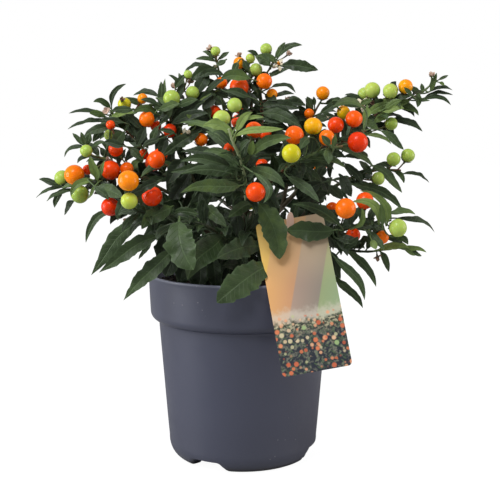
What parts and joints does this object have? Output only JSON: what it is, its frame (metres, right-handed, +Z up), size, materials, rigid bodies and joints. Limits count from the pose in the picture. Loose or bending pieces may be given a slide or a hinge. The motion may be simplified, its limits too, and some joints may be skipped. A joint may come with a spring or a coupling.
{
  "type": "potted jerusalem cherry",
  "caption": "Jerusalem cherry in a round nursery pot: soil, woody stem, leafy branches with round green to red berries, and a plant label leaning on the rim from its stake.",
  "frame": {"origin": "centre of the pot's foot, on the surface that it stands on", "axes": "+Z up along the stem; the side with the label faces -Y; +X is to the right seen from that side"},
  "size_m": [0.37, 0.268, 0.372],
  "materials": {
    "pot": "satin",
    "potting_soil": "matte",
    "bark": "matte",
    "foliage": "satin",
    "label_card": "satin",
    "label_stake": "satin",
    "green_berry": "gloss",
    "yellow_berry": "gloss",
    "orange_berry": "gloss",
    "red_berry": "gloss"
  },
  "bodies": {
    "root": {"pot": "pot", "potting_soil": "potting_soil", "main_stem": "bark", "plant_label": "label_card", "label_stake": "label_stake", "branch_low": "foliage", "branch_right": "foliage", "branch_left": "foliage", "branch_rear": "foliage", "branch_back_left": "foliage", "branch_back_right": "foliage", "branch_front": "foliage", "branch_top": "foliage", "berry_01": "orange_berry", "berry_02": "green_berry", "berry_03": "green_berry", "berry_04": "red_berry", "berry_05": "red_berry", "berry_06": "orange_berry", "berry_07": "yellow_berry", "berry_08": "red_berry", "berry_09": "green_berry", "berry_10": "green_berry", "berry_11": "red_berry", "berry_12": "yellow_berry", "berry_13": "orange_berry", "berry_14": "green_berry", "berry_15": "green_berry", "berry_16": "red_berry", "berry_17": "red_berry", "berry_18": "green_berry", "berry_19": "orange_berry", "berry_20": "green_berry", "berry_21": "orange_berry", "berry_22": "green_berry", "berry_23": "yellow_berry", "berry_24": "red_berry", "berry_25": "red_berry", "berry_26": "yellow_berry", "berry_27": "red_berry", "berry_28": "orange_berry", "berry_29": "orange_berry", "berry_30": "orange_berry", "berry_31": "red_berry", "berry_32": "red_berry", "berry_33": "red_berry", "berry_34": "green_berry", "berry_35": "green_berry", "berry_36": "orange_berry", "berry_37": "green_berry", "berry_38": "green_berry", "berry_39": "orange_berry", "berry_40": "red_berry", "berry_41": "green_berry", "berry_42": "orange_berry", "berry_43": "red_berry", "berry_44": "orange_berry", "berry_45": "red_berry", "berry_46": "yellow_berry"}
  },
  "joints": []
}
